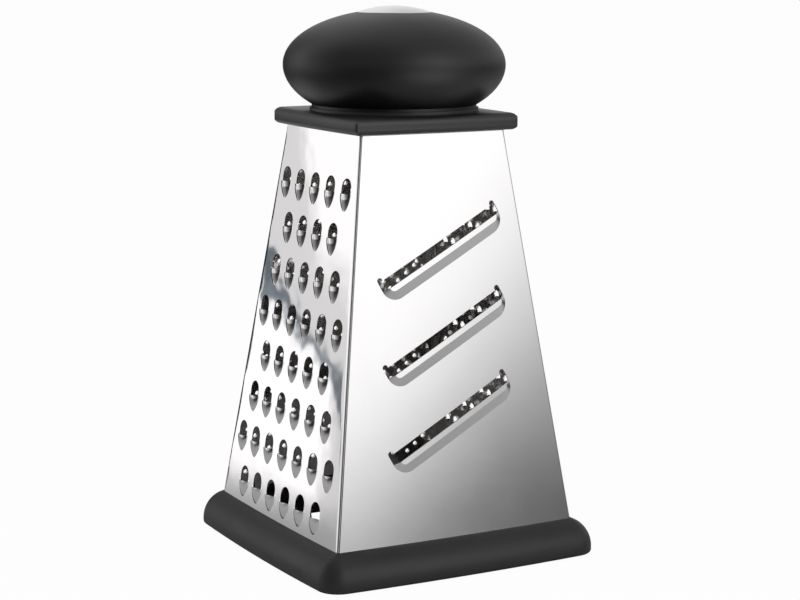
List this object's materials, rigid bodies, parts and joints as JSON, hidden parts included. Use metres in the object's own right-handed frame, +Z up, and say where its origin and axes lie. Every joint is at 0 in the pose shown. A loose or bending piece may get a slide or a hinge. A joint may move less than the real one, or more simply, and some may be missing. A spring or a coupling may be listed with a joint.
{
  "type": "box grater",
  "caption": "Four-sided steel box grater on a soft non-slip base ring, with a cap plate and a rounded soft-grip knob on top.",
  "frame": {"origin": "centre of the underside of the base ring, on the table", "axes": "+Z up through the knob; -Y is the outward side of the slicing wall; -X is the outward side of the coarse wall"},
  "size_m": [0.1336, 0.1336, 0.2313],
  "materials": {
    "wall_steel": "polished stainless sheet, satin sheen",
    "frame_plastic": "moulded black plastic, matte",
    "base_rubber": "charcoal non-slip rubber, soft sheen",
    "cap_plastic": "charcoal plastic, soft sheen",
    "clamp_steel": "plain stamped steel",
    "core_plastic": "moulded dark plastic, matte",
    "grip_rubber": "near-black soft-touch shell, satin",
    "badge_steel": "bare domed metal disc, satin",
    "screw_steel": "zinc-plated, satin"
  },
  "bodies": {
    "root": {"coarse_panel": "wall_steel", "slicing_panel": "wall_steel", "medium_panel": "wall_steel", "fine_panel": "wall_steel", "base_frame": "frame_plastic", "base_bumper": "base_rubber", "top_cap": "cap_plastic", "retaining_plate": "clamp_steel", "knob_core": "core_plastic", "knob_grip": "grip_rubber", "knob_badge": "badge_steel", "knob_screws": "screw_steel", "screw_washers": "screw_steel"}
  },
  "joints": []
}
